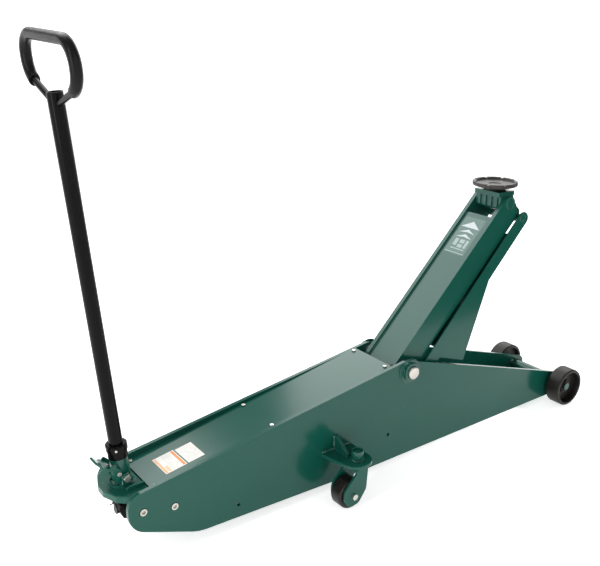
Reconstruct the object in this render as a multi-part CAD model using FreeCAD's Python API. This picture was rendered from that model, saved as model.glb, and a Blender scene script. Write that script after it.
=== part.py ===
import FreeCAD, Part
import math
import os

# Long-chassis trolley jack. Millimetres, +X forward, +Z up, lengths measured from the front axle
# until the whole jack is moved onto the centre of its own footprint at the end.

# driving sizes: chassis
half_width = 82.0
plate_t = 10.0
wheel_r = 57.0
wheel_w = 45.0
wheel_out = half_width + 57.5
rear_x = -1421.0
rear_top_z = 183.0
rear_low_z = 104.0
keel_x = -1254.0
keel_z = 36.0
bottom_z = 20.0
bottom_x = -792.0
nose_x = 38.0
nose_top_z = 77.0
peak_z = 293.0

# driving sizes: lift linkage
pivot_x = -623.0
pivot_z = 262.0
arm_len = 538.5
arm_rest_deg = 46.2
arm_edge_drop_deg = 1.1
arm_half = half_width - 25.0
arm_t = 12.0
arm_cover = 15.3
arm_below = 41.2
arm_end = 14.3
link_dx = 43.8
link_dz = -44.7
link_half = half_width - 14.0
link_t = 4.0
shaft_r = 17.0
arm_above = shaft_r + arm_cover
tip_pin_r = 13.0
link_pin_r = 9.0
lobe_r = 130.0
lobe_rest_deg = 28.5
lobe_pin_r = 14.0
saddle_r = 61.3
saddle_rise = 53.0

# driving sizes: hydraulics
ram_z = 135.0
tube_r = 44.0
rod_r = 18.0
tube_front_x = -748.0
block_front_x = -1285.0
block_rear_x = -1385.0

# driving sizes: casters
stem_x = -853.7
stem_y = half_width + 71.0
trail = 30.0
caster_r = 37.5
caster_w = 38.0
shelf_z = 110.0
shelf_t = 8.0
shelf_r = 36.0

# driving sizes: handle
sock_x = -1396.6
sock_z = 202.0
handle_tilt_deg = 4.87
tube_od_r = 15.4
tube_wall = 2.6
handle_len = 816.5
grip_half = 124.0
grip_high = 112.0
grip_lean_deg = 1.5
grip_rod_r = 6.5
pump_turn_deg = 40.0
grip_sleeve_r = 11.2

# named clearances
run_gap = 0.05
side_gap = 0.3
slot_gap = 1.2
pump_gap = 0.6

inner = half_width - plate_t
inside = inner - side_gap
arm_in = arm_half - arm_t
arm_rad = math.radians(arm_rest_deg)
edge_rad = math.radians(arm_rest_deg - arm_edge_drop_deg)
tip_x = pivot_x + arm_len * math.cos(arm_rad)
tip_z = pivot_z + arm_len * math.sin(arm_rad)
link_low = (pivot_x + link_dx, pivot_z + link_dz)
link_top = (tip_x + link_dx, tip_z + link_dz)
tip_s = arm_len * math.cos(arm_rad - edge_rad)
tip_n = arm_len * math.sin(arm_rad - edge_rad)
lobe_rad = math.radians(lobe_rest_deg)
lobe_x = pivot_x + lobe_r * math.sin(lobe_rad)
lobe_z = pivot_z - lobe_r * math.cos(lobe_rad)
ram_rate = 0.963
head_x = pivot_x + lobe_r * ram_rate * lobe_rad
parts = {}


def vec(x, y, z):
    return FreeCAD.Vector(x, y, z)


def box(x0, x1, y0, y1, z0, z1):
    return Part.makeBox(x1 - x0, y1 - y0, z1 - z0, vec(x0, y0, z0))


def rod_x(y, z, r, x0, x1):
    return Part.makeCylinder(r, x1 - x0, vec(x0, y, z), vec(1, 0, 0))


def rod_y(x, z, r, y0, y1):
    return Part.makeCylinder(r, y1 - y0, vec(x, y0, z), vec(0, 1, 0))


def rod_z(x, y, r, z0, z1):
    return Part.makeCylinder(r, z1 - z0, vec(x, y, z0), vec(0, 0, 1))


def ring_y(x, z, r_in, r_out, y0, y1):
    return rod_y(x, z, r_out, y0, y1).cut(rod_y(x, z, r_in, y0 - 1, y1 + 1))


def ring_z(x, y, r_in, r_out, z0, z1):
    return rod_z(x, y, r_out, z0, z1).cut(rod_z(x, y, r_in, z0 - 1, z1 + 1))


def mirrored(shape):
    return shape.mirror(vec(0, 0, 0), vec(0, 1, 0))


def both(shape):
    return Part.makeCompound([shape, mirrored(shape)])


def corner(before, here, after, r):
    # two tangent points and the middle of the rounding arc at one corner
    a = (before - here).normalize()
    b = (after - here).normalize()
    half = a.getAngle(b) / 2.0
    reach = r / math.tan(half)
    mid_dir = (a + b).normalize()
    mid = here + mid_dir * (r / math.sin(half) - r)
    return here + a * reach, mid, here + b * reach


def rounded(points, closed, place):
    # points are (u, v, corner radius); place turns (u, v) into a space point
    pts = [place(p[0], p[1]) for p in points]
    n = len(pts)
    edges = []
    last = None
    first = None
    for i in range(n):
        r = points[i][2]
        end = (not closed) and (i == 0 or i == n - 1)
        if r > 0 and not end:
            a, m, b = corner(pts[i - 1], pts[i], pts[(i + 1) % n], r)
        else:
            a, m, b = pts[i], None, pts[i]
        if last is not None and last.distanceToPoint(a) > 1e-6:
            edges.append(Part.makeLine(last, a))
        if m is not None:
            edges.append(Part.Arc(a, m, b).toShape())
        if first is None:
            first = a
        last = b
    if closed and last.distanceToPoint(first) > 1e-6:
        edges.append(Part.makeLine(last, first))
    return Part.Wire(edges)


def plate_y(points, y0, y1, place=None):
    # outline in the XZ plane pushed along Y
    where = place if place else (lambda u, v: vec(u, 0, v))
    face = Part.Face(rounded(points, True, where))
    solid = face.extrude(vec(0, y1 - y0, 0))
    solid.translate(vec(0, y0, 0))
    return solid


def plate_z(points, z0, z1):
    # outline in the XY plane pushed along Z
    face = Part.Face(rounded(points, True, lambda u, v: vec(u, v, z0)))
    return face.extrude(vec(0, 0, z1 - z0))


def revolve_y(points, x, z):
    # profile of (radius, y) turned about a Y axis through (x, z)
    pts = [vec(x + r, y, z) for r, y in points]
    face = Part.Face(Part.makePolygon(pts + [pts[0]]))
    return face.revolve(vec(x, 0, z), vec(0, 1, 0), 360)


def revolve_z(points, x, y):
    pts = [vec(x + r, y, z) for r, z in points]
    face = Part.Face(Part.makePolygon(pts + [pts[0]]))
    return face.revolve(vec(x, y, 0), vec(0, 0, 1), 360)


def hexagon_x(y, z, flats, x0, x1):
    r = flats / math.sqrt(3.0)
    pts = []
    for k in range(7):
        a = math.radians(60 * k)
        pts.append(vec(x0, y + r * math.cos(a), z + r * math.sin(a)))
    return Part.Face(Part.makePolygon(pts)).extrude(vec(x1 - x0, 0, 0))


def on_arm(s, n):
    # s runs along the arm's top edge direction, n square to it, both from the main pivot
    c = math.cos(edge_rad)
    k = math.sin(edge_rad)
    return vec(pivot_x + s * c - n * k, 0, pivot_z + s * k + n * c)


def on_link(s, m):
    c = math.cos(arm_rad)
    k = math.sin(arm_rad)
    return vec(link_low[0] + s * c - m * k, 0, link_low[1] + s * k + m * c)


def on_handle(shape):
    # handle pieces are drawn upright with the socket pin at the origin
    shape.rotate(vec(0, 0, 0), vec(0, 1, 0), -handle_tilt_deg)
    shape.translate(vec(sock_x, 0, sock_z))
    return shape


def peak_x():
    return pivot_x - 8.0


# cover line
cover_t = 4.0
cover_front_x = pivot_x - 56.0
cover_rear_x = block_rear_x + 28.0
cover_front_z = peak_z - 6.0
cover_rear_z = rear_top_z - 5.0
screw_y = inner - 10.0
screw_xs = [cover_front_x - 13.0, (cover_front_x + cover_rear_x) / 2.0 - 24.0, cover_rear_x + 10.0]


def cover_z(x):
    k = (cover_front_z - cover_rear_z) / (cover_front_x - cover_rear_x)
    return cover_rear_z + k * (x - cover_rear_x)


def sloped(x0, x1, y0, y1, drop_top, drop_low):
    # bar that follows the cover's slope, drops measured below the cover's top face
    pts = [(x0, cover_z(x0) - drop_low, 0), (x1, cover_z(x1) - drop_low, 0)]
    pts += [(x1, cover_z(x1) - drop_top, 0), (x0, cover_z(x0) - drop_top, 0)]
    return plate_y(pts, y0, y1)


bolt_spots = [(rear_x + 35.0, 139.4), (rear_x + 109.0, 125.2)]
bolt_r = 6.0
bolt_head_r = 8.3
sink_r = 9.8
sink_deep = 7.0
hole_spots = [(keel_x + 105.0, 66.2), (pivot_x - 66.0, 97.4)]
tie_spots = [(stem_x, 58.0), (pivot_x + 293.0, 44.0)]
tie_r = 11.0
axle_r = 11.0
axle_tube_r = 18.0
ring_in = 14.0
lock_spot = (-19.0, 73.0)
small_r = 3.1


def side_plate():
    pts = [(rear_x, rear_top_z, 36), (peak_x(), peak_z, 34), (nose_x, nose_top_z, 26)]
    pts += [(nose_x, bottom_z, 26), (bottom_x, bottom_z, 0), (keel_x, keel_z, 110)]
    pts += [(rear_x, rear_low_z, 54)]
    body = plate_y(pts, -half_width, -inner)
    body = body.cut(rod_y(pivot_x, pivot_z, shaft_r + run_gap, -half_width - 1, -inner + 1))
    body = body.cut(rod_y(0, wheel_r, axle_r + run_gap, -half_width - 1, -inner + 1))
    for x, z in bolt_spots:
        body = body.cut(rod_y(x, z, bolt_r + run_gap, -half_width - 1, -inner + 1))
        body = body.cut(rod_y(x, z, sink_r, -half_width - 1, -half_width + sink_deep))
    for x, z in hole_spots:
        body = body.cut(rod_y(x, z, 5.0, -half_width - 1, -inner + 1))
    body = body.cut(rod_y(lock_spot[0], lock_spot[1], 3.0 + run_gap, -half_width - 1, -inner + 1))
    return body


def cover_plate():
    body = sloped(cover_rear_x, cover_front_x, -inside, inside, 0, cover_t)
    for x in screw_xs:
        for side in (-1, 1):
            body = body.cut(rod_z(x, side * screw_y, 3.0 + run_gap, 0, peak_z + 50))
    return body


def cover_rail():
    body = sloped(cover_rear_x + 2, cover_front_x - 4, -inner, -inner + 18, cover_t, cover_t + 8)
    for x in screw_xs:
        body = body.cut(rod_z(x, -screw_y, 3.0 + run_gap, 0, peak_z + 50))
    return body


def cover_screw(x, y):
    z = cover_z(x)
    head = rod_z(x, y, 5.0, z + 0.9, z + 3.0)
    head = head.fuse(rod_z(x, y, 3.0, z - 10.0, z + 0.9))
    return head.cut(rod_z(x, y, 1.8, z + 2.2, z + 4.0))


def label(x0, x1, y0, y1):
    return sloped(x0, x1, y0, y1, -0.4, 0.0)


def front_cross_plate():
    low = bottom_z + 4
    x = axle_tube_r + 1
    pts = [(x + 8, low, 0), (x + 8, wheel_r + 7, 0), (x, wheel_r + 7, 0), (x, low + 6, 0)]
    return plate_y(pts + [(-150, low + 6, 0), (-150, low, 0)], -inner, inner)


def axle_housing():
    return ring_y(0, wheel_r, axle_r + run_gap, axle_tube_r, -inner, inner)


def front_axle():
    end = wheel_out - 10.0
    body = rod_y(0, wheel_r, axle_r, -end, end)
    for side in (-1, 1):
        y = side * (wheel_out - ring_in)
        groove = ring_y(0, wheel_r, axle_r - 1.2, axle_r + 2, y - 1.1, y + 1.1)
        body = body.cut(groove)
    return body


def axle_ring():
    y = -(wheel_out - ring_in)
    return ring_y(0, wheel_r, axle_r - 1.2 + run_gap, axle_r + 6, y - 1.0, y + 1.0)


def axle_spacer():
    return ring_y(0, wheel_r, axle_r + run_gap, axle_r + 6,
                  -(wheel_out - wheel_w) + side_gap, -half_width)


def lock_screw():
    x, z = lock_spot
    body = rod_y(x, z, 3.0, -half_width, -inner)
    return body.fuse(rod_y(x, z, 6.5, -inner, -inner + 4.0))


def tie_bar(x, z):
    return rod_y(x, z, tie_r, -inner, inner)


def pivot_shaft():
    end = half_width + 20.0
    body = rod_y(pivot_x, pivot_z, shaft_r, -end + 2, end - 2)
    for side in (-1, 1):
        cone = Part.makeCone(shaft_r, shaft_r - 2, 2, vec(pivot_x, side * (end - 2), pivot_z),
                             vec(0, side, 0))
        body = body.fuse(cone)
    return body.removeSplitter()


def pivot_boss():
    y = -half_width
    body = ring_y(pivot_x, pivot_z, shaft_r + run_gap, shaft_r + 15, y - 5, y)
    body = body.fuse(ring_y(pivot_x, pivot_z, shaft_r + run_gap, shaft_r + 8, y - 13, y - 5))
    return body.removeSplitter()


def pivot_spacer():
    return ring_y(pivot_x, pivot_z, shaft_r + run_gap, shaft_r + 7, -inner, -arm_half - side_gap)


def boss_screws():
    pair = []
    for deg in (118, 152):
        a = math.radians(deg)
        x = pivot_x + (shaft_r + 11.5) * math.cos(a)
        z = pivot_z + (shaft_r + 11.5) * math.sin(a)
        y = -half_width - 5
        pair.append(rod_y(x, z, small_r, y - 3.5, y))
    return Part.makeCompound(pair)


def link_stub():
    x, z = link_low
    y_in = -(link_half - link_t) + side_gap
    body = rod_y(x, z, link_pin_r, -inner, y_in)
    body = body.fuse(rod_y(x, z, link_pin_r + 5, -inner, -link_half - side_gap))
    body = body.fuse(rod_y(x, z, link_pin_r + 4, y_in, -arm_half - 3.0))
    return body.removeSplitter()


def caster_shelf():
    y = -half_width
    pts = [(stem_x - 58, y, 0), (stem_x + shelf_r, y, 0)]
    pts += [(stem_x + shelf_r, -stem_y - shelf_r, shelf_r - 0.5)]
    pts += [(stem_x - shelf_r, -stem_y - shelf_r, shelf_r - 3)]
    body = plate_z(pts, shelf_z, shelf_z + shelf_t)
    return body.cut(rod_z(stem_x, -stem_y, 8.0 + run_gap, shelf_z - 1, shelf_z + shelf_t + 1))


def caster_gusset():
    y = -half_width
    z = shelf_z + shelf_t
    pts = [vec(stem_x - 16, y, z), vec(stem_x - 16, y, z + 37), vec(stem_x - 16, y - 10, z + 37)]
    pts += [vec(stem_x - 16, -stem_y + 19, z + 6), vec(stem_x - 16, -stem_y + 19, z)]
    return Part.Face(Part.makePolygon(pts + [pts[0]])).extrude(vec(8, 0, 0))


def caster_sleeve():
    z = shelf_z + shelf_t
    body = ring_z(stem_x, -stem_y, 8.0 + run_gap, 15.0, z, z + 24)
    return body.cut(rod_z(stem_x, -stem_y, 11.5, z + 16, z + 25))


def shelf_screws():
    pair = []
    for deg in (-102, -135):
        a = math.radians(deg)
        x = stem_x + 21 * math.cos(a)
        y = -stem_y + 21 * math.sin(a)
        z = shelf_z + shelf_t
        pair.append(rod_z(x, y, small_r, z, z + 3.5))
    return Part.makeCompound(pair)


tray_z = 164.0
tray_rim_z = 180.0
tray_wall = 4.0
tray_pts = [(cover_rear_x - 5, -inside, 0), (rear_x + 13, -inside, 3), (rear_x - 11, 20.7 - inside, 12)]
tray_pts += [(rear_x - 25, -14, 20), (rear_x - 25, 14, 20), (rear_x - 11, inside - 20.7, 12)]
tray_pts += [(rear_x + 13, inside, 3), (cover_rear_x - 5, inside, 0)]
ear_in = 26.0
ear_t = 5.0
cap_hole_r = 25.0


def rear_tray():
    # flat-topped cap with a skirt, a ring round the socket, two ears and two cheeks
    outer = plate_z(tray_pts, tray_z, tray_rim_z)
    edges = [e for e in outer.Edges if min(v.Z for v in e.Vertexes) > tray_rim_z - 0.01]
    outer = outer.makeFillet(3.0, [e for e in edges if e.BoundBox.XMax < cover_rear_x - 6])
    wire = Part.Face(rounded(tray_pts, True, lambda u, v: vec(u, v, tray_z - 1)))
    body = outer.cut(wire.makeOffset2D(-tray_wall).extrude(vec(0, 0, tray_rim_z - tray_z - 4)))
    body = body.fuse(rod_z(sock_x, 0, cap_hole_r + 5, tray_rim_z - 1, tray_rim_z + 4))
    cheek = [(cover_rear_x - 5, tray_rim_z - 2, 0), (cover_rear_x - 5, tray_rim_z + 10, 3)]
    cheek += [(rear_x + 23, tray_rim_z + 10, 12), (rear_x, tray_rim_z - 2, 5)]
    ear = [(sock_x - 10, tray_rim_z - 2, 0), (sock_x - 10, sock_z + 10, 9.9)]
    ear += [(sock_x + 10, sock_z + 10, 9.9), (sock_x + 10, tray_rim_z - 2, 0)]
    for side in (-1, 1):
        y0, y1 = sorted((side * 43, side * 48))
        body = body.fuse(plate_y(cheek, y0, y1))
        y0, y1 = sorted((side * ear_in, side * (ear_in + ear_t)))
        body = body.fuse(plate_y(ear, y0, y1))
    body = body.cut(rod_z(sock_x, 0, cap_hole_r, tray_z - 2, tray_rim_z + 6))
    body = body.cut(rod_y(sock_x, sock_z, 6.0 + run_gap, -60, 60))
    return body.removeSplitter()


def hydraulic_block():
    body = box(block_rear_x, block_front_x, -inner, inner, ram_z - 43, tray_z)
    top = cover_z(block_rear_x + 28) - cover_t - 10
    body = body.cut(box(block_rear_x - 1, block_front_x + 1, -inner - 1, -inner + 20, top, tray_z + 1))
    body = body.cut(box(block_rear_x - 1, block_front_x + 1, inner - 20, inner + 1, top, tray_z + 1))
    body = body.cut(rod_x(0, ram_z, 24.5, block_front_x - 24, block_front_x + 1))
    slot_x = block_rear_x + 14
    body = body.cut(box(block_rear_x - 1, slot_x, -9, 9, plunger_z - 11, tray_z + 1))
    deep = plunger_back + plunger_long + plunger_stroke + 1.5
    body = body.cut(rod_x(0, plunger_z, plunger_r + run_gap, slot_x - 1, deep))
    for x, z in bolt_spots:
        for side in (-1, 1):
            y0, y1 = sorted((side * (inner - 30), side * (inner + 1)))
            body = body.cut(rod_y(x, z, bolt_r + run_gap, y0, y1))
    return body


def block_bolt(x, z):
    y = -half_width + sink_deep
    body = rod_y(x, z, bolt_r, y, -inner + 28)
    head = rod_y(x, z, bolt_head_r, y - 8, y)
    head = head.cut(hexagon_y(x, z, 9.0, y - 9, y - 4))
    return body.fuse(head)


def hexagon_y(x, z, flats, y0, y1):
    r = flats / math.sqrt(3.0)
    pts = []
    for k in range(7):
        a = math.radians(60 * k)
        pts.append(vec(x + r * math.cos(a), y0, z + r * math.sin(a)))
    return Part.Face(Part.makePolygon(pts)).extrude(vec(0, y1 - y0, 0))


lug_long = 46.0
lug_half = 6.5
nose_r = 6.0
web_half = 4.0
cotter_y = 9.0
cotter_z = 124.0
cotter_r = 1.3
pump_half_rad = math.radians(pump_turn_deg / 2.0)
plunger_r = 7.5
plunger_long = 52.0
plunger_z = sock_z - lug_long - 1.0
plunger_back = sock_x - lug_long * math.sin(pump_half_rad) + nose_r + pump_gap
plunger_stroke = 2 * lug_long * math.sin(pump_half_rad)


def pump_body():
    # black end cap on the back of the block, below the plunger
    x = block_rear_x
    pts = [(x, 131, 0), (x - 25, 131, 4), (x - 30, 121, 4), (x - 21, 98, 5), (x - 12, 94, 4), (x, 94, 0)]
    body = plate_y(pts, -19, 19)
    body = body.fuse(rod_x(0, 113, 10, x - 31, x - 10))
    body = body.cut(rod_x(cotter_y, cotter_z, cotter_r + run_gap, x - 40, x - 18))
    return body.removeSplitter()


def pump_cotter():
    x = block_rear_x - 18.5
    return rod_x(cotter_y, cotter_z, cotter_r, x - 21, x)


def pump_plunger():
    return rod_x(0, plunger_z, plunger_r, plunger_back, plunger_back + plunger_long)


def cylinder_tube():
    body = rod_x(0, ram_z, tube_r, block_front_x, tube_front_x)
    return body.cut(rod_x(0, ram_z, 24.5, block_front_x - 1, tube_front_x + 1))


def gland_nut():
    body = hexagon_x(0, ram_z, 72.0, tube_front_x, tube_front_x + 14)
    return body.cut(rod_x(0, ram_z, rod_r + run_gap, tube_front_x - 1, tube_front_x + 20))


head_back = 34.0
head_front = 28.0
head_half = 42.0


def ram_rod():
    front = head_x - head_back
    body = rod_x(0, ram_z, rod_r, front - 400, front)
    body = body.fuse(rod_x(0, ram_z, 24.5 - run_gap, front - 424, front - 400))
    return body.removeSplitter()


def crosshead():
    low = ram_z - 28
    high = ram_z + 40
    pts = [(head_x - head_back, low, 6), (head_x + head_front, low, 10)]
    pts += [(head_x + head_front, high, 10), (head_x - head_back, high, 6)]
    body = plate_y(pts, -head_half, head_half)
    w = lobe_pin_r + slot_gap
    z0 = pivot_z - lobe_r - lobe_pin_r - slot_gap
    z1 = pivot_z - lobe_r * math.cos(math.radians(lobe_rest_deg + 4)) + lobe_pin_r + slot_gap
    slot = [(head_x - w, z0, 6), (head_x + w, z0, 6), (head_x + w, z1, 6), (head_x - w, z1, 6)]
    return body.cut(plate_y(slot, -head_half - 1, head_half + 1))


def arm_plate():
    # lobe runs down and back from the main pivot to the ram pin
    a = -(math.pi / 2.0 - lobe_rad) - edge_rad
    c, k = math.cos(a), math.sin(a)
    side = 24.0
    tip = lobe_r + 24.0

    def lobe(along, across):
        return (along * c - across * k, along * k + across * c)

    l1 = lobe(tip, side)
    l2 = lobe(tip, -side)
    end = tip_s + arm_end
    pts = [(end, arm_above, 22), (-30, arm_above, 26), (-46, -30, 30)]
    pts += [(l2[0], l2[1], 23), (l1[0], l1[1], 23), (74, -arm_below, 30), (end, -arm_below, 40)]
    body = plate_y(pts, -arm_half, -arm_in, on_arm)
    body = body.cut(rod_y(pivot_x, pivot_z, shaft_r + run_gap, -arm_half - 1, -arm_in + 1))
    body = body.cut(rod_y(tip_x, tip_z, tip_pin_r + run_gap, -arm_half - 1, -arm_in + 1))
    body = body.cut(rod_y(lobe_x, lobe_z, lobe_pin_r + run_gap, -arm_half - 1, -arm_in + 1))
    weld = ring_y(tip_x, tip_z, tip_pin_r + 2.5, tip_pin_r + 4.5, -arm_half - 1.5, -arm_half)
    return body.fuse(weld)


arm_sheet_t = 5.0
arm_sheet_drop = 6.0
arm_sheet_end = tip_s - 63.4


def arm_top_plate():
    top = arm_above - arm_sheet_drop
    pts = [(-24, top, 0), (arm_sheet_end, top, 0)]
    pts += [(arm_sheet_end, top - arm_sheet_t, 0), (-24, top - arm_sheet_t, 0)]
    return plate_y(pts, -arm_in, arm_in, on_arm)


def arm_bottom_plate():
    low = -arm_below + 4
    end = tip_s - 42.0
    pts = [(95, low, 0), (end, low, 0), (end, low + arm_sheet_t, 0), (95, low + arm_sheet_t, 0)]
    return plate_y(pts, -arm_in, arm_in, on_arm)


def arm_hub():
    return ring_y(pivot_x, pivot_z, shaft_r + run_gap, shaft_r + 4, -arm_in, arm_in)


def arm_tip_pin():
    return rod_y(tip_x, tip_z, tip_pin_r, -arm_half - 0.5, arm_half + 0.5)


def arm_lobe_pin():
    return rod_y(lobe_x, lobe_z, lobe_pin_r, -arm_half, arm_half)


link_up = 14.5
link_down = 24.0
web_start = arm_len - 49.0
belly_s = 129.5
belly_m = -115.6
kink_s = 343.0


def link_outline(shrink):
    end = arm_len + 19.0
    pts = [(-19, link_up, 15), (end, link_up, 18), (end, -link_down + shrink, 18)]
    pts += [(kink_s, -link_down + shrink, 0), (belly_s + shrink * 0.4, belly_m + shrink * 1.1, 0)]
    pts += [(88.8, -27.4, 0), (20, -18, 0), (-19, -18, 15)]
    return pts


def link_channel():
    full = plate_y(link_outline(0), -link_half, link_half, on_link)
    core = [(-60, 60, 0), (arm_len + 60, 60, 0), (arm_len + 60, -60, 0)]
    core += [(web_start, -60, 0), (web_start, -link_down + link_t, 0)]
    core += [(kink_s, -link_down + link_t, 0), (belly_s + 1, belly_m + link_t * 1.1, 0)]
    core += [(belly_s - 1.8, belly_m, 0), (belly_s - 20, belly_m - 10, 0), (-60, -60, 0)]
    y = link_half - link_t
    body = full.cut(plate_y(core, -y, y, on_link))
    x, z = link_low
    body = body.cut(rod_y(x, z, link_pin_r + run_gap, -link_half - 1, link_half + 1))
    x, z = link_top
    return body.cut(rod_y(x, z, link_pin_r + run_gap, -link_half - 1, link_half + 1))


def link_top_pin():
    x, z = link_top
    body = rod_y(x, z, link_pin_r, -link_half - 1.2, link_half + 1.2)
    return body


carrier_half = arm_in - 1.0
saddle_x = tip_x - 2.5
saddle_top = tip_z + saddle_rise
carrier_top = tip_z + 30.0
stem_r = 12.5


def carrier():
    lx, lz = link_top
    pts = [(tip_x - 25, carrier_top - 8, 3), (tip_x - 25, tip_z - 19, 10), (tip_x + 6, tip_z - 24, 12)]
    pts += [(lx - 12, lz - 13, 11), (lx + 13, lz - 13, 11), (lx + 14, lz + 16, 14)]
    pts += [(tip_x + 30, tip_z - 4, 14), (tip_x + 24, carrier_top - 8, 3)]
    body = plate_y(pts, -carrier_half, carrier_half)
    flange = box(tip_x - 33, tip_x + 28, -carrier_half, carrier_half, carrier_top - 13, carrier_top)
    body = body.fuse(flange)
    for k in (-3, -1, 1, 3):
        y = k * carrier_half * 10 / 44
        rib = box(tip_x - 29, tip_x - 24, y - 4, y + 4, tip_z - 12, carrier_top - 12)
        body = body.fuse(rib)
    end = carrier_half + 1
    body = body.cut(rod_y(tip_x, tip_z, tip_pin_r + run_gap, -end, end))
    body = body.cut(rod_y(lx, lz, link_pin_r + run_gap, -end, end))
    body = body.cut(rod_z(saddle_x, 0, stem_r + run_gap, tip_z + tip_pin_r + 4, carrier_top + 1))
    return body.removeSplitter()


def saddle():
    top = saddle_top
    low = carrier_top + side_gap
    pts = [(0, tip_z + tip_pin_r + 4.5), (stem_r, tip_z + tip_pin_r + 4.5), (stem_r, low), (29, low)]
    pts += [(33, low + 4), (saddle_r - 5, top - 12), (saddle_r - 1, top - 10.5), (saddle_r, top - 9)]
    pts += [(saddle_r, top - 1.5), (saddle_r - 1.5, top), (saddle_r - 9, top), (saddle_r - 12, top - 6)]
    pts += [(18, top - 8), (16, top - 10), (0, top - 10)]
    body = revolve_z(pts, saddle_x, 0)
    for i in range(8):
        a = math.radians(22.5 + 45 * i)
        dx, dy = math.cos(a), math.sin(a)
        mark = vec(saddle_x + (saddle_r - 16) * dx, (saddle_r - 16) * dy, top + 3.6)
        body = body.cut(Part.makeCylinder(6.0, 30, mark, vec(dx, dy, 0)))
        x = saddle_x + (saddle_r + 6.2) * dx
        body = body.cut(rod_z(x, (saddle_r + 6.2) * dy, 8.0, top - 20, top + 5))
    return body


def front_wheel():
    # tread, rim, dished web and hub, drawn for the right-hand side
    r = wheel_r
    o = -wheel_out
    i = o + wheel_w
    hub = o + ring_in + 1.5
    pts = [(axle_r + run_gap, hub), (20, hub), (21, hub + 5), (r - 12, hub + 5)]
    pts += [(r - 9, o), (r - 4, o), (r - 1.2, o + 1.2), (r, o + 4), (r, i - 4), (r - 1.2, i - 1.2)]
    pts += [(r - 4, i), (r - 9, i), (r - 12, i - 14), (21, i - 14), (20, i), (axle_r + run_gap, i)]
    return revolve_y(pts, 0, wheel_r)


fork_in = caster_w / 2.0 + 2.5
fork_t = 6.0
fork_out = fork_in + fork_t
wheel_x = stem_x - trail


def caster_fork():
    top = shelf_z - side_gap
    leg = [(stem_x + 12, top - 12, 0), (stem_x + 8, caster_r + 9, 18)]
    leg += [(wheel_x + 14, caster_r - 25, 20), (wheel_x - 30, caster_r - 25, 24)]
    leg += [(wheel_x - 28, caster_r + 20, 30), (stem_x - 20, top - 12, 0)]
    y = -stem_y
    body = rod_z(stem_x, y, 8.0, top - 4, shelf_z + shelf_t + 20)
    body = body.fuse(rod_z(stem_x, y, 24.0, top - 6, top))
    plate = [(stem_x - 22, y - fork_out, 0), (stem_x + 12, y - fork_out, 0)]
    plate += [(stem_x + 12, y + fork_out, 0), (stem_x - 22, y + fork_out, 0)]
    body = body.fuse(plate_z(plate, top - 12.5, top - 5))
    body = body.fuse(plate_y(leg, y - fork_out, y - fork_in))
    body = body.fuse(plate_y(leg, y + fork_in, y + fork_out))
    body = body.cut(rod_y(wheel_x, caster_r, 6.0 + run_gap, y - 50, y + 50))
    return body.removeSplitter()


def caster_axle():
    y = -stem_y
    body = rod_y(wheel_x, caster_r, 6.0, y - fork_out - 1, y + fork_out + 1)
    body = body.fuse(hexagon_y(wheel_x, caster_r, 14.0, y - fork_out - 6, y - fork_out))
    return body.fuse(hexagon_y(wheel_x, caster_r, 14.0, y + fork_out, y + fork_out + 6))


def caster_wheel():
    r = caster_r
    y = -stem_y
    h = caster_w / 2.0
    pts = [(6 + run_gap, -h - 1.8), (11, -h - 1.8), (11, -h + 4), (r - 9, -h + 4), (r - 8, -h)]
    pts += [(r - 5, -h), (r - 1.5, -h + 1.5), (r, -h + 5)]
    pts += [(r, h - 5), (r - 1.5, h - 1.5), (r - 5, h), (r - 8, h), (r - 9, h - 4), (11, h - 4)]
    pts += [(11, h + 1.8), (6 + run_gap, h + 1.8)]
    return revolve_y([(a, b + y) for a, b in pts], wheel_x, caster_r)


sock_r = 20.5
sock_top = 41.0
sock_low = -18.0
tube_low = 20.0
pedal_x = -14.0
pedal_z = 11.0
pedal_in = 21.2
pedal_t = 4.0


def handle_socket():
    # barrel for the tube with a lug below that pushes the plunger
    body = rod_z(0, 0, sock_r, sock_low, sock_top)
    body = body.cut(rod_z(0, 0, tube_od_r + run_gap, tube_low - 2, sock_top + 1))
    on_handle(body)
    a = pump_half_rad
    nose = (sock_x - lug_long * math.sin(a), sock_z - lug_long * math.cos(a))
    web = []
    w = web_half
    for along, across in ((12, -w), (lug_long, -w), (lug_long, w), (12, w)):
        x = sock_x - along * math.sin(a) + across * math.cos(a)
        web.append((x, sock_z - along * math.cos(a) - across * math.sin(a), 0))
    body = body.fuse(plate_y(web, -lug_half, lug_half))
    body = body.fuse(rod_y(nose[0], nose[1], nose_r, -lug_half, lug_half))
    body = body.cut(rod_y(sock_x, sock_z, 6.0 + run_gap, -60, 60))
    pin = rod_y(sock_x + pedal_x, sock_z + pedal_z, 4.0 + run_gap, -30, 30)
    return body.cut(pin).removeSplitter()


def socket_bolt():
    end = ear_in + ear_t
    body = rod_y(sock_x, sock_z, 6.0, -end - 1, end + 1)
    body = body.fuse(hexagon_y(sock_x, sock_z, 15.0, -end - 6, -end))
    return body.fuse(hexagon_y(sock_x, sock_z, 15.0, end, end + 6))


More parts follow.
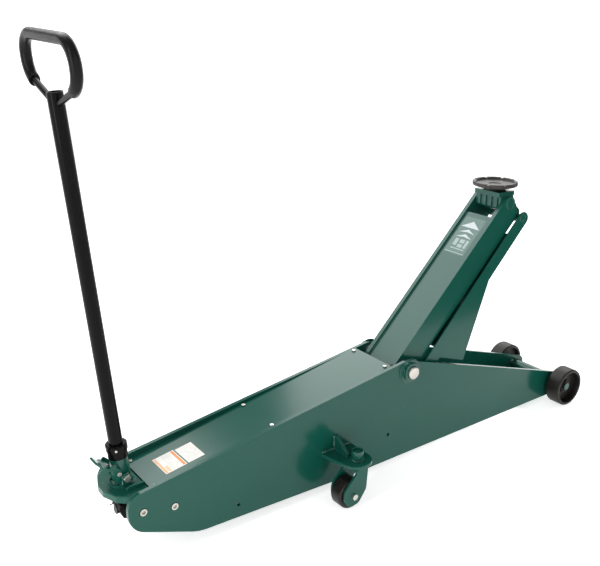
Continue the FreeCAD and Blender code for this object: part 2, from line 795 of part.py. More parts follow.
def foot_pedal():
    # side arms from the pin, then a cranked strap with a flat pad
    px = sock_x + pedal_x
    pz = sock_z + pedal_z
    arm = [(px - 6.5, pz - 7, 6), (px + 6.5, pz - 7, 6), (px + 6, pz + 6, 6)]
    arm += [(px - 13, pz + 25, 4), (px - 20, pz + 20, 4)]
    body = None
    for side in (-1, 1):
        y0, y1 = sorted((side * pedal_in, side * (pedal_in + pedal_t)))
        piece = plate_y(arm, y0, y1)
        body = piece if body is None else body.fuse(piece)
    strap = [(px - 12, pz + 15, 0), (px - 18, pz + 19, 5), (px - 30, pz + 24, 5), (px - 44, pz + 39, 0)]
    strap += [(px - 48, pz + 36, 0), (px - 34, pz + 20, 5), (px - 20, pz + 14, 5), (px - 14, pz + 10, 0)]
    wide = pedal_in + pedal_t
    cross = plate_y(strap, -wide, wide)
    trim = [(px - 26, -60, 0), (px - 60, -60, 0), (px - 60, -15, 0), (px - 40, -15, 6)]
    trim += [(px - 26, -wide, 0)]
    cut = plate_z(trim, pz - 20, pz + 80)
    cross = cross.cut(cut).cut(mirrored(cut))
    body = body.fuse(cross)
    return body.cut(rod_y(px, pz, 4.0 + run_gap, -40, 40)).removeSplitter()


def pedal_pin():
    px = sock_x + pedal_x
    pz = sock_z + pedal_z
    end = pedal_in + pedal_t
    body = rod_y(px, pz, 4.0, -end, end)
    body = body.fuse(rod_y(px, pz, 5.0, -end - 2, -end))
    return body.fuse(rod_y(px, pz, 5.0, end, end + 2))


def handle_tube():
    body = rod_z(0, 0, tube_od_r, tube_low, handle_len)
    body = body.cut(rod_z(0, 0, tube_od_r - tube_wall, tube_low - 1, handle_len + 1))
    return on_handle(body)


def handle_collar():
    low = sock_top + side_gap
    body = ring_z(0, 0, tube_od_r + run_gap, sock_r + 1, low, low + 33)
    lip = ring_z(0, 0, sock_r - 1, sock_r + 3, low + 18, low + 31)
    body = body.fuse(lip)
    return on_handle(body.cut(collar_screw_shape()).removeSplitter())


def collar_screw_shape():
    a = math.radians(-115)
    d = vec(math.cos(a), math.sin(a), 0)
    start = d * (tube_od_r + 0.2)
    start.z = sock_top + 25
    return Part.makeCylinder(3.0, 9.2, start, d)


def collar_screw():
    return on_handle(collar_screw_shape())


grip_base = handle_len - 15.0
sleeve_from = 98.0


def grip_path():
    # half loop points as (across, up) mirrored into a D whose ends meet the tube
    top = grip_high
    side = [(tube_od_r - 3, -6.0, 0), (grip_half - 4, 34.0, 44), (grip_half, top, 43)]
    pts = side + [(-p[0], p[1], p[2]) for p in reversed(side)]
    return rounded(pts, False, lambda u, v: vec(0, -u, grip_base + v))


def swept(path, r):
    first = path.Edges[0]
    p = path.OrderedVertexes[0].Point
    q = first.valueAt(first.FirstParameter)
    t = first.tangentAt(first.FirstParameter)
    if q.distanceToPoint(p) > 1e-6:
        t = first.tangentAt(first.LastParameter) * -1
    ring = Part.Wire(Part.makeCircle(r, p, t))
    return path.makePipeShell([ring], True, False)


def leaned(shape):
    # the loop sits a little lower on the right-hand side
    shape.rotate(vec(0, 0, handle_len), vec(1, 0, 0), grip_lean_deg)
    return shape


def grip_rod():
    body = swept(grip_path(), grip_rod_r)
    return on_handle(leaned(body).cut(rod_z(0, 0, tube_od_r, grip_base - 60, handle_len + 8)))


def grip_sleeve():
    path = grip_path()
    body = swept(path, grip_sleeve_r).cut(swept(path, grip_rod_r + run_gap))
    body = body.cut(box(-60, 60, -sleeve_from, sleeve_from, grip_base - 60, grip_base + 80))
    return on_handle(leaned(body))


def group(shapes):
    return Part.makeCompound(shapes)


def build():
    plate = side_plate()
    parts["side_plate_right"] = plate
    parts["side_plate_left"] = mirrored(plate)
    parts["cover_plate"] = cover_plate()
    parts["cover_rails"] = both(cover_rail())
    parts["cover_screws"] = group([cover_screw(x, s * screw_y) for x in screw_xs for s in (-1, 1)])
    first = cover_rear_x + 47
    parts["cover_labels"] = group([label(first, first + 53, -44, 27),
                                   label(first + 56.5, first + 98, -43.5, 24)])
    parts["front_cross_plate"] = front_cross_plate()
    parts["axle_housing"] = axle_housing()
    parts["front_axle"] = front_axle()
    parts["axle_rings"] = both(axle_ring())
    parts["axle_spacers"] = both(axle_spacer())
    parts["axle_lock_screws"] = both(lock_screw())
    parts["tie_bars"] = group([tie_bar(x, z) for x, z in tie_spots])
    parts["pivot_shaft"] = pivot_shaft()
    parts["pivot_bosses"] = both(pivot_boss())
    parts["pivot_spacers"] = both(pivot_spacer())
    parts["link_stub_pins"] = both(link_stub())
    shelf = caster_shelf()
    parts["caster_shelf_right"] = shelf
    parts["caster_shelf_left"] = mirrored(shelf)
    parts["caster_gussets"] = both(caster_gusset())
    parts["caster_sleeves"] = both(caster_sleeve())
    parts["small_screws"] = group([both(boss_screws()), both(shelf_screws())])
    parts["rear_tray"] = rear_tray()
    parts["hydraulic_block"] = hydraulic_block()
    parts["block_bolts"] = group([both(block_bolt(x, z)) for x, z in bolt_spots])
    parts["pump_body"] = pump_body()
    parts["pump_cotter"] = pump_cotter()
    parts["pump_plunger"] = pump_plunger()
    parts["cylinder_tube"] = cylinder_tube()
    parts["gland_nut"] = gland_nut()
    parts["ram_rod"] = ram_rod()
    parts["crosshead"] = crosshead()
    arm = arm_plate()
    parts["arm_plate_right"] = arm
    parts["arm_plate_left"] = mirrored(arm)
    parts["arm_top_plate"] = arm_top_plate()
    parts["arm_bottom_plate"] = arm_bottom_plate()
    parts["arm_hub"] = arm_hub()
    parts["arm_tip_pin"] = arm_tip_pin()
    parts["arm_lobe_pin"] = arm_lobe_pin()
    parts["link_channel"] = link_channel()
    parts["link_top_pin"] = link_top_pin()
    parts["saddle_carrier"] = carrier()
    parts["saddle"] = saddle()
    wheel = front_wheel()
    parts["front_wheel_right"] = wheel
    parts["front_wheel_left"] = mirrored(wheel)
    for name, make in (("caster_fork", caster_fork), ("caster_axle", caster_axle),
                       ("caster_wheel", caster_wheel)):
        one = make()
        parts[name + "_right"] = one
        parts[name + "_left"] = mirrored(one)
    parts["handle_socket"] = handle_socket()
    parts["socket_bolt"] = socket_bolt()
    parts["foot_pedal"] = foot_pedal()
    parts["pedal_pin"] = pedal_pin()
    parts["handle_tube"] = handle_tube()
    parts["handle_collar"] = handle_collar()
    parts["collar_screw"] = collar_screw()
    parts["grip_rod"] = grip_rod()
    parts["grip_sleeve"] = grip_sleeve()


def write():
    os.makedirs("parts", exist_ok=True)
    whole = FreeCAD.BoundBox()
    for shape in parts.values():
        whole.add(shape.optimalBoundingBox(False))
    shift = vec(-(whole.XMin + whole.XMax) / 2.0, -(whole.YMin + whole.YMax) / 2.0, -whole.ZMin)
    print("shift", shift.x, shift.y, shift.z, "size", whole.XLength, whole.YLength, whole.ZLength)
    for name, shape in parts.items():
        shape.translate(shift)
        shape.exportStep("parts/" + name + ".step")


build()
write()
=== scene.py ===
import bpy
import math
from mathutils import Matrix, Vector


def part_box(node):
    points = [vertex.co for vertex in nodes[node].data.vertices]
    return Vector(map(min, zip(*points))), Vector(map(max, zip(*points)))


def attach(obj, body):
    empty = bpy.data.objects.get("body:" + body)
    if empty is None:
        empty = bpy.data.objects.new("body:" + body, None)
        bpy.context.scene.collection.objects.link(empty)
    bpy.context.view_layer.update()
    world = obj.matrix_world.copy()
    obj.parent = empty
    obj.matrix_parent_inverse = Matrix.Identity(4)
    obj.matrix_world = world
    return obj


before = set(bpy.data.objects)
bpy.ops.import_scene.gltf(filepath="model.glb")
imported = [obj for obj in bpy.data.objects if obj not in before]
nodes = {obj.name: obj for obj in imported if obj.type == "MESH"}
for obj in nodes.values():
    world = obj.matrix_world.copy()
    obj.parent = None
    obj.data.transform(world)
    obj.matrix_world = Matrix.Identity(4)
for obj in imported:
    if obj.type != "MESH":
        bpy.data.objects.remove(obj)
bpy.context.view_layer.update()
scene = bpy.context.scene
print("frame loaded", len(nodes))


class Sock:
    def __init__(self, mat, link):
        self.mat = mat
        self.link = link

    def math(self, kind, *others, clamp=False):
        return self.mat.add("ShaderNodeMath", {"operation": kind, "use_clamp": clamp},
                            {0: self, **{i + 1: o for i, o in enumerate(others)}})["Value"]

    def __add__(self, other):
        return self.math("ADD", other)

    def __radd__(self, other):
        return self.math("ADD", other)

    def __mul__(self, other):
        return self.math("MULTIPLY", other)

    def __rmul__(self, other):
        return self.math("MULTIPLY", other)

    def __sub__(self, other):
        return self.math("SUBTRACT", other)

    def __rsub__(self, other):
        return (self * -1.0) + other

    def __truediv__(self, other):
        return self.math("DIVIDE", other)

    def above(self, edge):
        return self.math("GREATER_THAN", edge)

    def below(self, edge):
        return self.math("LESS_THAN", edge)

    def clamp(self):
        return self.math("ADD", 0.0, clamp=True)

    def between(self, low, high):
        return self.above(low) * self.below(high)


class Mat:
    def __init__(self, name):
        self.mat = bpy.data.materials.new(name)
        self.mat.use_nodes = True
        self.tree = self.mat.node_tree
        self.shader = self.tree.nodes["Principled BSDF"]

    def add(self, kind, settings=None, inputs=None):
        node = self.tree.nodes.new(kind)
        for key, value in (settings or {}).items():
            setattr(node, key, value)
        for key, value in (inputs or {}).items():
            if isinstance(value, Sock):
                self.tree.links.new(value.link, node.inputs[key])
            else:
                node.inputs[key].default_value = value
        return {s.name: Sock(self, s) for s in node.outputs if s.enabled}

    def feed(self, name, value):
        if isinstance(value, Sock):
            self.tree.links.new(value.link, self.shader.inputs[name])
        else:
            self.shader.inputs[name].default_value = value

    def place(self):
        return self.add("ShaderNodeTexCoord")["Object"]

    def split(self, vector):
        out = self.add("ShaderNodeSeparateXYZ", {}, {0: vector})
        return out["X"], out["Y"], out["Z"]

    def noise(self, scale, detail=3.0, rough=0.55):
        return self.add("ShaderNodeTexNoise", {}, {
            "Vector": self.place(), "Scale": scale, "Detail": detail, "Roughness": rough})["Fac"]

    def cells(self, scale):
        return self.add("ShaderNodeTexVoronoi", {}, {"Vector": self.place(), "Scale": scale})["Distance"]

    def ramp(self, value, low, high):
        return self.add("ShaderNodeMapRange", {"clamp": True}, {
            "Value": value, "From Min": low, "From Max": high, "To Min": 0.0, "To Max": 1.0})["Result"]

    def mixColour(self, factor, a, b):
        # sockets 6 and 7 are the mix node's two colours
        a, b = [c if isinstance(c, Sock) else (*c, 1.0) for c in (a, b)]
        return self.add("ShaderNodeMix", {"data_type": "RGBA"}, {0: factor, 6: a, 7: b})["Result"]

    def bump(self, height, distance, strength, under=None):
        inputs = {"Height": height, "Distance": distance, "Strength": strength}
        if under:
            inputs["Normal"] = under
        return self.add("ShaderNodeBump", {}, inputs)["Normal"]

    def edge(self, radius):
        # 1 on outer edges and corners, 0 on flats: worn edges on most finishes, a painted edge highlight
        #                                           on the green paint
        soft = self.add("ShaderNodeBevel", {"samples": 6}, {"Radius": radius})["Normal"]
        hard = self.add("ShaderNodeNewGeometry")["Normal"]
        dot = self.add("ShaderNodeVectorMath", {"operation": "DOT_PRODUCT"}, {0: soft, 1: hard})["Value"]
        return (1.0 - dot).clamp()


# edge is the lighter green laid along the edges of the green paint as a painted edge highlight
paint = dict(base=(0.006, 0.086, 0.062), deep=(0.004, 0.066, 0.047), edge=(0.06, 0.22, 0.175),
             rough=0.20, coat=0.05, coatRough=0.08, peel=0.00004, dust=0.05, specular=0.26)


def greenPaint(name, scale=1.0, rough=None, gloss=1.0):
    m = Mat(name)
    broad = m.noise(3.5 * scale, 4.0)
    fine = m.noise(420.0, 2.0)
    peel = m.noise(160.0, 2.0)
    specks = m.ramp(m.noise(55.0, 6.0, 0.7), 0.66, 0.74)
    # painted highlight: a lighter green along every edge, broken up by noise
    wearAndHighlight = m.ramp(m.edge(0.0022) + m.noise(60.0, 4.0) * 0.12, 0.10, 0.32)
    colour = m.mixColour(broad, paint["deep"], paint["base"])
    colour = m.mixColour(wearAndHighlight * 0.55, colour, paint["edge"])
    colour = m.mixColour(specks * paint["dust"], colour, (0.16, 0.19, 0.17))
    m.feed("Base Color", colour)
    base = rough or paint["rough"]
    m.feed("Roughness", broad * 0.06 + specks * 0.2 + fine * 0.04 + base - 0.06)
    m.feed("Metallic", 0.0)
    coat = paint["coat"]
    if gloss > 1:
        coat = (coat * gloss - specks * 0.1).clamp()
    m.feed("Coat Weight", coat)
    m.feed("Coat Roughness", paint["coatRough"])
    m.feed("Specular IOR Level", paint["specular"] * gloss)
    m.feed("Normal", m.bump(peel, paint["peel"], 0.6, m.bump(broad, 0.0006, 0.3)))
    return m.mat


def metal(name, colour, dark, rough, grain, bumpBy=0.00008, spots=0.0):
    m = Mat(name)
    fine = m.noise(grain, 4.0, 0.65)
    broad = m.noise(24.0, 4.0)
    edge = m.ramp(m.edge(0.0015), 0.05, 0.35)
    stain = m.ramp(m.noise(70.0, 6.0, 0.7), 0.58, 0.72)
    tone = m.mixColour(m.ramp(broad, 0.3, 0.7), dark, colour)
    tone = m.mixColour(edge * 0.5, tone, tuple(min(1.0, c * 1.5 + 0.03) for c in colour))
    tone = m.mixColour(stain * spots, tone, tuple(c * 0.4 for c in dark))
    m.feed("Base Color", tone)
    m.feed("Metallic", 1.0)
    m.feed("Roughness", fine * 0.18 + stain * 0.15 + rough)
    m.feed("Normal", m.bump(fine, bumpBy, 0.7))
    return m.mat


def castIron(name, colour, dark, rough, pits):
    m = Mat(name)
    lumps = m.noise(90.0, 6.0, 0.7)
    grains = m.cells(900.0)
    edge = m.ramp(m.edge(0.0025) + lumps * 0.1, 0.12, 0.34)
    tone = m.mixColour(m.ramp(lumps, 0.32, 0.68), dark, colour)
    tone = m.mixColour(edge * 0.6, tone, tuple(min(1.0, c * 1.9 + 0.04) for c in colour))
    m.feed("Base Color", tone)
    m.feed("Metallic", edge * 0.3 + 0.1)
    m.feed("Roughness", lumps * 0.2 + rough)
    m.feed("Specular IOR Level", 0.35)
    m.feed("Normal", m.bump(lumps, pits, 0.8, m.bump(grains, pits * 0.4, 0.6)))
    return m.mat


def blackPaint(name, rough):
    m = Mat(name)
    broad = m.noise(9.0, 4.0)
    fine = m.noise(240.0, 2.0)
    scuff = m.ramp(m.noise(46.0, 7.0, 0.75), 0.62, 0.72)
    edge = m.ramp(m.edge(0.0016) + scuff * 0.1, 0.12, 0.36)
    tone = m.mixColour(broad, (0.0015, 0.0015, 0.0017), (0.0035, 0.0035, 0.0038))
    tone = m.mixColour(edge * 0.35, tone, (0.07, 0.07, 0.068))
    m.feed("Base Color", m.mixColour(scuff * 0.06, tone, (0.08, 0.078, 0.075)))
    m.feed("Roughness", broad * 0.10 + scuff * 0.2 + rough)
    m.feed("Coat Weight", 0.02)
    m.feed("Coat Roughness", 0.06)
    m.feed("Specular IOR Level", 0.09)
    m.feed("Normal", m.bump(fine, 0.00007, 0.6))
    return m.mat


def rubber(name):
    m = Mat(name)
    grains = m.cells(1500.0)
    broad = m.noise(30.0, 5.0)
    dust = m.ramp(m.noise(70.0, 6.0, 0.7), 0.55, 0.75)
    tone = m.mixColour(broad, (0.004, 0.004, 0.004), (0.009, 0.009, 0.009))
    m.feed("Base Color", m.mixColour(dust * 0.08, tone, (0.08, 0.078, 0.075)))
    m.feed("Roughness", broad * 0.12 + 0.16)
    m.feed("Specular IOR Level", 0.12)
    m.feed("Normal", m.bump(grains, 0.00015, 0.6, m.bump(broad, 0.0003, 0.3)))
    return m.mat


# shares of the two films' joint length, and of their width
labels = dict(rows=46.0, firstRows=(0.19, 0.43), secondRows=(0.62, 0.97), rowWidth=(0.06, 0.94),
              bar=(0.455, 0.52), foot=(0.015, 0.075), barWidth=(0.03, 0.97),
              icon=(0.10, 0.17), iconWidth=(0.05, 0.40), firstEnds=0.55)


def labelFilm(name):
    # two blank films told apart by how far along the cover they lie
    m = Mat(name)
    x, y = m.split(m.place())[:2]
    low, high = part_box("cover_labels")
    u = (x - low[0]) / (high[0] - low[0])
    v = (y - low[1]) / (high[1] - low[1])
    first = u.below(labels["firstEnds"])
    bars = u.between(*labels["bar"]) * v.between(*labels["barWidth"])
    foot = u.between(*labels["foot"]) * v.between(*labels["barWidth"])
    icon = u.between(*labels["icon"]) * v.between(*labels["iconWidth"])
    rows = (u * labels["rows"]).math("FRACT").between(0.25, 0.62) * m.noise(90.0, 1.0).above(0.42)
    blocks = u.between(*labels["firstRows"]) + u.between(*labels["secondRows"])
    text = rows * v.between(*labels["rowWidth"]) * blocks
    wash = m.noise(40.0, 4.0)
    paper = m.mixColour(wash, (0.80, 0.79, 0.75), (0.70, 0.69, 0.65))
    tone = m.mixColour(text * 0.42, paper, (0.22, 0.23, 0.22))
    tone = m.mixColour(bars, tone, (0.72, 0.22, 0.03))
    tone = m.mixColour(foot * 0.9, tone, (0.78, 0.36, 0.12))
    tone = m.mixColour(icon * 0.8 * first, tone, (0.80, 0.45, 0.2))
    m.feed("Base Color", tone)
    m.feed("Roughness", wash * 0.1 + 0.3)
    m.feed("Normal", m.bump(m.noise(300.0, 2.0), 0.00005, 0.5))
    return m.mat


def plainInk(name, colour, rough):
    m = Mat(name)
    wearAndHighlight = m.ramp(m.noise(260.0, 5.0, 0.7), 0.5, 0.75)
    m.feed("Base Color", m.mixColour(wearAndHighlight * 0.25, colour, tuple(c * 0.6 for c in colour)))
    m.feed("Roughness", wearAndHighlight * 0.2 + rough)
    m.feed("Specular IOR Level", 0.4)
    m.feed("Normal", m.bump(wearAndHighlight, 0.00003, 0.5))
    return m.mat


green = greenPaint("greenEnamel")
greenCast = greenPaint("greenCasting", 2.0, 0.22, 1.6)
greenWeld = greenPaint("greenWeld", 3.0, 0.14, 3.2)
zinc = metal("zincSteel", (0.62, 0.60, 0.55), (0.45, 0.43, 0.39), 0.26, 420.0, 0.00006, 0.3)
steel = metal("machinedSteel", (0.40, 0.40, 0.40), (0.25, 0.25, 0.25), 0.30, 500.0)
chrome = metal("chromeRod", (0.72, 0.72, 0.74), (0.60, 0.60, 0.62), 0.08, 600.0, 0.00002)
black = blackPaint("blackEnamel", 0.2)
grip = rubber("blackSleeve")
wheelIron = castIron("wheelIron", (0.010, 0.0075, 0.0062), (0.0045, 0.0036, 0.0032), 0.38, 0.0003)
saddleIron = castIron("saddleIron", (0.050, 0.046, 0.043), (0.022, 0.020, 0.019), 0.40, 0.0006)
rollerPlastic = castIron("rollerNylon", (0.017, 0.0125, 0.0105), (0.008, 0.0065, 0.006), 0.30, 0.0001)
film = labelFilm("labelFilm")
ink = plainInk("arrowInk", (0.50, 0.56, 0.56), 0.35)
faintInk = plainInk("faintInk", (0.30, 0.39, 0.37), 0.35)
clearFilm = plainInk("clearFilm", (0.022, 0.105, 0.082), 0.16)
print("materials made")

finish = {
    "green": (green, "side_plate_right side_plate_left cover_plate cover_rails front_cross_plate"
              " caster_shelf_right caster_shelf_left caster_gussets rear_tray arm_plate_right"
              " arm_plate_left arm_top_plate arm_bottom_plate link_channel cylinder_tube"
              " caster_fork_right caster_fork_left foot_pedal axle_housing"),
    "cast": (greenCast, "saddle_carrier handle_socket hydraulic_block crosshead pivot_bosses"
             " caster_sleeves front_axle arm_tip_pin link_top_pin small_screws"),
    "zinc": (zinc, "cover_screws axle_lock_screws pivot_shaft block_bolts socket_bolt pedal_pin"
             " pump_cotter caster_axle_right caster_axle_left collar_screw"),
    "steel": (steel, "axle_spacers tie_bars pivot_spacers link_stub_pins gland_nut arm_hub"
              " arm_lobe_pin"),
    "chrome": (chrome, "ram_rod pump_plunger"),
    "black": (black, "pump_body handle_tube handle_collar grip_rod axle_rings"),
    "rubber": (grip, "grip_sleeve"),
    "wheel": (wheelIron, "front_wheel_right front_wheel_left"),
    "saddle": (saddleIron, "saddle"),
    "roller": (rollerPlastic, "caster_wheel_right caster_wheel_left"),
    "label": (film, "cover_labels"),
}
bevels = dict(side_plate_right=0.0016, side_plate_left=0.0016, cover_plate=0.001, arm_plate_right=0.0014,
              arm_plate_left=0.0014, link_channel=0.0016, saddle_carrier=0.0022, saddle=0.0012,
              front_wheel_right=0.0012, front_wheel_left=0.0012, hydraulic_block=0.002,
              rear_tray=0.0012, crosshead=0.002, caster_fork_right=0.0012, caster_fork_left=0.0012,
              cover_labels=0.0001, arm_top_plate=0.0008, grip_sleeve=0.0015, handle_tube=0.0005)

soft = dict(width=0.0008, segments=3, sharpAngle=40, flatAngle=0.6, join=0.00002)


def softEdges(obj, width):
    join = obj.modifiers.new("weld", "WELD")
    join.merge_threshold = soft["join"]
    flat = obj.modifiers.new("flat", "DECIMATE")
    flat.decimate_type = "DISSOLVE"
    flat.angle_limit = math.radians(soft["flatAngle"])
    bevel = obj.modifiers.new("bevel", "BEVEL")
    bevel.width = width
    bevel.segments = soft["segments"]
    bevel.limit_method = "ANGLE"
    bevel.angle_limit = math.radians(soft["sharpAngle"])
    bevel.use_clamp_overlap = True
    bevel.harden_normals = False
    for face in obj.data.polygons:
        face.use_smooth = True
    even = obj.modifiers.new("even", "WEIGHTED_NORMAL")
    even.keep_sharp = True
    even.weight = 80


def dressNodes():
    for material, names in finish.values():
        for name in names.split():
            obj = nodes[name]
            obj.data.materials.clear()
            obj.data.materials.append(material)
            softEdges(obj, bevels.get(name, soft["width"]))


dressNodes()
print("nodes dressed")


def newPiece(name, verts, faces, material, body, smooth=True):
    mesh = bpy.data.meshes.new(name)
    mesh.from_pydata([tuple(v) for v in verts], [], faces)
    mesh.update()
    for face in mesh.polygons:
        face.use_smooth = smooth
    mesh.materials.append(material)
    obj = bpy.data.objects.new(name, mesh)
    scene.collection.objects.link(obj)
    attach(obj, body)
    return obj


def middle(name):
    low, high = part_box(name)
    return (low + high) / 2


def farthest(name, way):
    # the vertex of a node that lies farthest along a direction
    best = max(nodes[name].data.vertices, key=lambda v: v.co.dot(way))
    return best.co.copy()


weld = dict(sides=10, pitch=0.0016, ripple=0.24, rippleTurn=2.1, wander=0.2, wanderTurn=0.37,
            endSize=0.5, seed=(0.31, 0.17, 0.94))


def bead(name, path, radius, body, closed=False):
    # rippled weld bead swept along a line of points; seed only sets which way its ring starts
    points = []
    count = len(path)
    for i in range(count if closed else count - 1):
        a = Vector(path[i])
        b = Vector(path[(i + 1) % count])
        steps = max(1, round((b - a).length / weld["pitch"]))
        points += [a.lerp(b, k / steps) for k in range(steps)]
    if not closed:
        points.append(Vector(path[-1]))
    total = len(points)
    verts = []
    for i, p in enumerate(points):
        ahead = points[(i + 1) % total] if closed or i < total - 1 else p
        behind = points[i - 1] if closed or i > 0 else p
        along = (ahead - behind).normalized()
        side = along.cross(Vector(weld["seed"])).normalized()
        up = side.cross(along)
        ripple = weld["ripple"] * math.sin(i * weld["rippleTurn"])
        wander = weld["wander"] * math.sin(i * weld["wanderTurn"])
        size = radius * (1 + ripple + wander)
        if not closed and i in (0, total - 1):
            size *= weld["endSize"]
        for k in range(weld["sides"]):
            a = 2 * math.pi * k / weld["sides"]
            verts.append(p + side * (size * math.cos(a)) + up * (size * math.sin(a)))
    faces = []
    n = weld["sides"]
    for i in range(total if closed else total - 1):
        j = (i + 1) % total
        for k in range(n):
            faces.append((i * n + k, i * n + (k + 1) % n, j * n + (k + 1) % n, j * n + k))
    if not closed:
        faces.append(tuple(range(n - 1, -1, -1)))
        faces.append(tuple(range((total - 1) * n, total * n)))
    return newPiece(name, verts, faces, greenWeld, body)


def circle(centre, radius, way, height, count):
    # points round a centre, about the y axis or the z axis, at a height along that axis
    points = []
    for k in range(count):
        a = 2 * math.pi * k / count
        one = radius * math.cos(a)
        two = radius * math.sin(a)
        if way == "y":
            points.append(Vector((centre.x + one, height, centre.z + two)))
        else:
            points.append(Vector((centre.x + one, centre.y + two, height)))
    return points


def halfLength(name):
    # along x
    low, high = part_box(name)
    return (high.x - low.x) / 2


def armEnds():
    # lower and upper end of the sheet between the arm's plates
    lower = farthest("arm_top_plate", Vector((-1, 0, 0.2)))
    upper = farthest("arm_top_plate", Vector((0.2, 0, 1)))
    return lower, upper


# r is the bead's radius, round how far its ring lies outside the pin, and sunk or out how far its
# path lies inside or outside the face, all in metres
armWelds = dict(seam=dict(r=0.0016, sunk=0.0004),
                tip=dict(r=0.0013, round=0.0022, sunk=0.0011, count=48),
                link=dict(r=0.0011, round=0.0012, out=0.0001, count=48))


def makeArmWelds():
    seam = armWelds["seam"]
    tip = armWelds["tip"]
    link = armWelds["link"]
    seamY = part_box("arm_top_plate")[1].y - seam["sunk"]
    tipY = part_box("arm_plate_left")[1].y - tip["sunk"]
    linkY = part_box("link_channel")[1].y + link["out"]
    for side, word in ((-1, "right"), (1, "left")):
        path = [Vector((p.x, side * seamY, p.z)) for p in armEnds()]
        bead("armSeam_" + word, path, seam["r"], "lift_arm")
        size = halfLength("arm_tip_pin") + tip["round"]
        ring = circle(middle("arm_tip_pin"), size, "y", side * tipY, tip["count"])
        bead("tipPinWeld_" + word, ring, tip["r"], "lift_arm", True)
        size = halfLength("link_top_pin") + link["round"]
        ring = circle(middle("link_top_pin"), size, "y", side * linkY, link["count"])
        bead("linkPinWeld_" + word, ring, link["r"], "level_link", True)


chassisWelds = dict(boss=dict(r=0.0014, round=0.0006, out=0.0004, count=64),
                    shelf=dict(r=0.0030, out=0.0006, above=0.0004, startIn=0.004, endIn=0.002),
                    gusset=dict(r=0.0028, topIn=0.001), foot=dict(r=0.0018, endIn=0.002),
                    sleeve=dict(r=0.0016, round=0.0004, above=0.0004, count=40))


def makeChassisWelds():
    boss = chassisWelds["boss"]
    shelf = chassisWelds["shelf"]
    gusset = chassisWelds["gusset"]
    foot = chassisWelds["foot"]
    sleeve = chassisWelds["sleeve"]
    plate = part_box("side_plate_left")[1].y
    gussetLow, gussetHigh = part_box("caster_gussets")
    sleeveLow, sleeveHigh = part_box("caster_sleeves")
    sleeveR = halfLength("caster_sleeves")
    for side, word in ((-1, "right"), (1, "left")):
        size = halfLength("pivot_bosses") + boss["round"]
        ring = circle(middle("pivot_bosses"), size, "y", side * (plate + boss["out"]), boss["count"])
        bead("bossWeld_" + word, ring, boss["r"], "chassis", True)
        low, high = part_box("caster_shelf_" + word)
        top = high.z + shelf["above"]
        y = side * (plate + shelf["out"])
        for z, where in ((top, "Top"), (low.z - shelf["above"], "Under")):
            path = [Vector((low.x + shelf["startIn"], y, z)), Vector((high.x - shelf["endIn"], y, z))]
            bead("shelf" + where + "Weld_" + word, path, shelf["r"], "chassis")
        for x, where in ((gussetLow.x, "Back"), (gussetHigh.x, "Front")):
            up = [Vector((x, y, high.z)), Vector((x, y, gussetHigh.z - gusset["topIn"]))]
            bead("gusset" + where + "Weld_" + word, up, gusset["r"], "chassis")
            out = [Vector((x, y, top)), Vector((x, side * (gussetHigh.y - foot["endIn"]), top))]
            bead("gussetFoot" + where + "Weld_" + word, out, foot["r"], "chassis")
        spot = Vector(((sleeveLow.x + sleeveHigh.x) / 2, side * (sleeveHigh.y - sleeveR), 0))
        size = sleeveR + sleeve["round"]
        ring = circle(spot, size, "z", sleeveLow.z + sleeve["above"], sleeve["count"])
        bead("sleeveWeld_" + word, ring, sleeve["r"], "chassis", True)


# distances down the arm and across it, in metres
decal = dict(inset=0.027, thick=0.0001, filmLift=0.00012, inkLift=0.0003, wide=0.036,
             filmTop=-0.012, filmFoot=0.108, arrowLong=0.021, arrowHalf=0.032,
             chevrons=(0.027, 0.043), chevronDrop=0.012, chevronNotch=0.0085, chevronHalf=0.028,
             rule=(0.103, 0.105), ruleHalf=0.034)
# each bar: from and to down the arm, then from and to across it
decalBars = ((0.060, 0.082, 0.022, 0.010), (0.060, 0.072, 0.004, -0.012), (0.076, 0.086, 0.004, -0.012),
             (0.060, 0.086, -0.017, -0.026), (0.090, 0.093, 0.022, -0.026))


def armDecal():
    # arrow, two chevrons and plain bars on a clear film near the top of the arm
    lower, upper = armEnds()
    along = Vector((upper.x - lower.x, 0, upper.z - lower.z)).normalized()
    out = Vector((-along.z, 0, along.x))
    top = Vector((upper.x, 0, upper.z)) - along * decal["inset"]
    thick = decal["thick"]

    def flat(name, outline, lift, material):
        # outline is (distance down the arm, distance across)
        under = [top - along * d + Vector((0, y, 0)) + out * (lift - thick) for d, y in outline]
        over = [p + out * thick for p in under]
        n = len(outline)
        faces = [tuple(range(n, 2 * n)), tuple(range(n - 1, -1, -1))]
        faces += [(i, (i + 1) % n, n + (i + 1) % n, n + i) for i in range(n)]
        newPiece(name, under + over, faces, material, "lift_arm", False)

    w = decal["wide"]
    d0, d1 = decal["filmTop"], decal["filmFoot"]
    flat("armFilm", [(d0, -w), (d0, w), (d1, w), (d1, -w)], decal["filmLift"], clearFilm)
    w = decal["arrowHalf"]
    lift = decal["inkLift"]
    flat("armArrow", [(0, 0), (decal["arrowLong"], w), (decal["arrowLong"], -w)], lift, ink)
    w = decal["chevronHalf"]
    for i, d in enumerate(decal["chevrons"]):
        ends = d + decal["chevronDrop"]
        shape = [(d, 0), (ends, w), (d + decal["chevronNotch"], 0), (ends, -w)]
        flat("armChevron_" + str(i), shape, lift, ink)
    for i, (d0, d1, y0, y1) in enumerate(decalBars):
        flat("armBar_" + str(i), [(d0, y0), (d0, y1), (d1, y1), (d1, y0)], lift, faintInk)
    w = decal["ruleHalf"]
    d0, d1 = decal["rule"]
    flat("armRule", [(d0, w), (d0, -w), (d1, -w), (d1, w)], lift, faintInk)


makeArmWelds()
makeChassisWelds()
armDecal()
print("welds and decal made")

view = dict(spot=(-1.285937, -1.4861, 1.1746), azimuth=-36.11, height=19.05, roll=0.19,
            lens=49.37, sensor=36.0, reach=60.0)


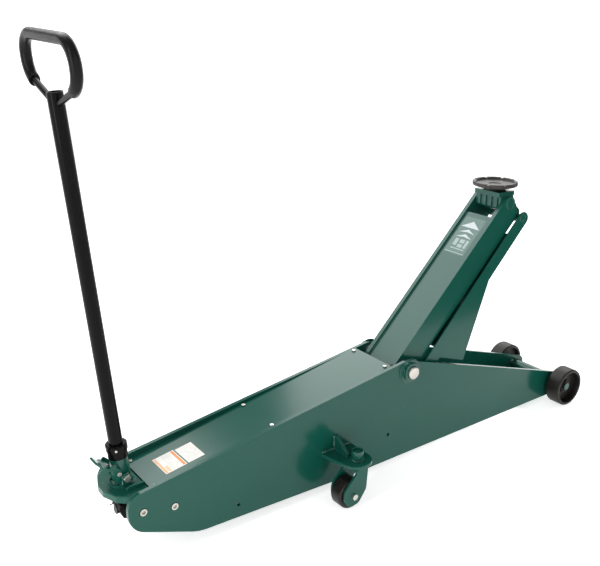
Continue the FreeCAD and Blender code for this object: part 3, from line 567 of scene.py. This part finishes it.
def makeCamera():
    a = math.radians(view["azimuth"])
    e = math.radians(view["height"])
    back = Vector((math.sin(a) * math.cos(e), -math.cos(a) * math.cos(e), math.sin(e)))
    right = Vector((0, 0, 1)).cross(back).normalized()
    up = back.cross(right)
    turn = Matrix.Rotation(math.radians(view["roll"]), 3, back)
    right = turn @ right
    up = turn @ up
    data = bpy.data.cameras.new("camera")
    data.lens = view["lens"]
    data.sensor_width = view["sensor"]
    data.clip_end = view["reach"]
    obj = bpy.data.objects.new("camera", data)
    scene.collection.objects.link(obj)
    m = Matrix((right, up, back)).transposed().to_4x4()
    m.translation = Vector(view["spot"])
    obj.matrix_world = m
    scene.camera = obj


# each light: where it hangs, where it points, its two sides in metres and its watts
lamps = dict(key=((-0.5, 1.9, 2.9), (0.1, 0, 0.3), (2.2, 2.0), 68.0),
             rim=((2.2, 1.9, 2.1), (0, 0, 0.3), (2.8, 2.0), 66.0),
             strip=((-2.4, -0.5, 1.3), (-0.6, 0, 0.6), (0.25, 2.0), 20.0),
             front=((-0.4, -2.6, 2.2), (0, 0, 0.3), (1.6, 0.8), 9.0))


def areaLight(name, spot, aim, size, power):
    data = bpy.data.lights.new(name, "AREA")
    data.shape = "RECTANGLE"
    data.size, data.size_y = size
    data.energy = power
    obj = bpy.data.objects.new(name, data)
    scene.collection.objects.link(obj)
    obj.location = spot
    obj.rotation_euler = (Vector(aim) - Vector(spot)).to_track_quat("-Z", "Y").to_euler()


studio = dict(world=0.40, glow=0.68)
sweep = dict(radii=(0.0, 4.0, 9.0, 14.0, 15.2, 15.8, 16.0), heights=(0, 0, 0, 0, 0.25, 1.2, 3.8), sides=64)


def floorMat(name):
    m = Mat(name)
    broad = m.noise(1.2, 3.0)
    m.feed("Base Color", m.mixColour(broad, (0.86, 0.86, 0.86), (0.90, 0.90, 0.90)))
    m.feed("Roughness", broad * 0.1 + 0.6)
    m.feed("Emission Color", m.mixColour(broad, (1.0, 1.0, 1.0), (0.98, 0.98, 0.98)))
    m.feed("Emission Strength", studio["glow"])
    m.feed("Normal", m.bump(m.noise(90.0, 3.0), 0.0002, 0.3))
    return m.mat


def makeStudio():
    world = bpy.data.worlds.new("studio")
    scene.world = world
    world.use_nodes = True
    back = world.node_tree.nodes["Background"]
    back.inputs["Color"].default_value = (1, 1, 1, 1)
    back.inputs["Strength"].default_value = studio["world"]
    for name, values in lamps.items():
        areaLight(name, *values)
    n = sweep["sides"]
    verts = []
    for r, z in zip(sweep["radii"], sweep["heights"]):
        verts += circle(Vector((0, 0, 0)), r, "z", z, n)
    faces = []
    for i in range(len(sweep["radii"]) - 1):
        for k in range(n):
            faces.append((i * n + k, (i + 1) * n + k, (i + 1) * n + (k + 1) % n, i * n + (k + 1) % n))
    mesh = bpy.data.meshes.new("floor")
    mesh.from_pydata(verts, [], faces)
    mesh.validate()
    floor = bpy.data.objects.new("floor", mesh)
    scene.collection.objects.link(floor)
    mesh.materials.append(floorMat("paleFloor"))
    scene.view_settings.view_transform = "Standard"


flag = dict(near=(0.45, -0.46), far=(1.5, -0.46), low=0.13, high=0.75, cloth=(0.004, 0.004, 0.004))


def darkFlag():
    # dark card at the side, seen only in the gloss of the raised arm
    x0, y0 = flag["near"]
    x1, y1 = flag["far"]
    low, high = flag["low"], flag["high"]
    mesh = bpy.data.meshes.new("darkFlag")
    mesh.from_pydata([(x0, y0, low), (x1, y1, low), (x1, y1, high), (x0, y0, high)], [], [(0, 1, 2, 3)])
    mesh.materials.append(plainInk("flagCloth", flag["cloth"], 0.8))
    card = bpy.data.objects.new("darkFlag", mesh)
    scene.collection.objects.link(card)
    card.visible_camera = False
    card.visible_diffuse = False
    card.visible_shadow = False


makeCamera()
makeStudio()
darkFlag()
print("camera and studio made")
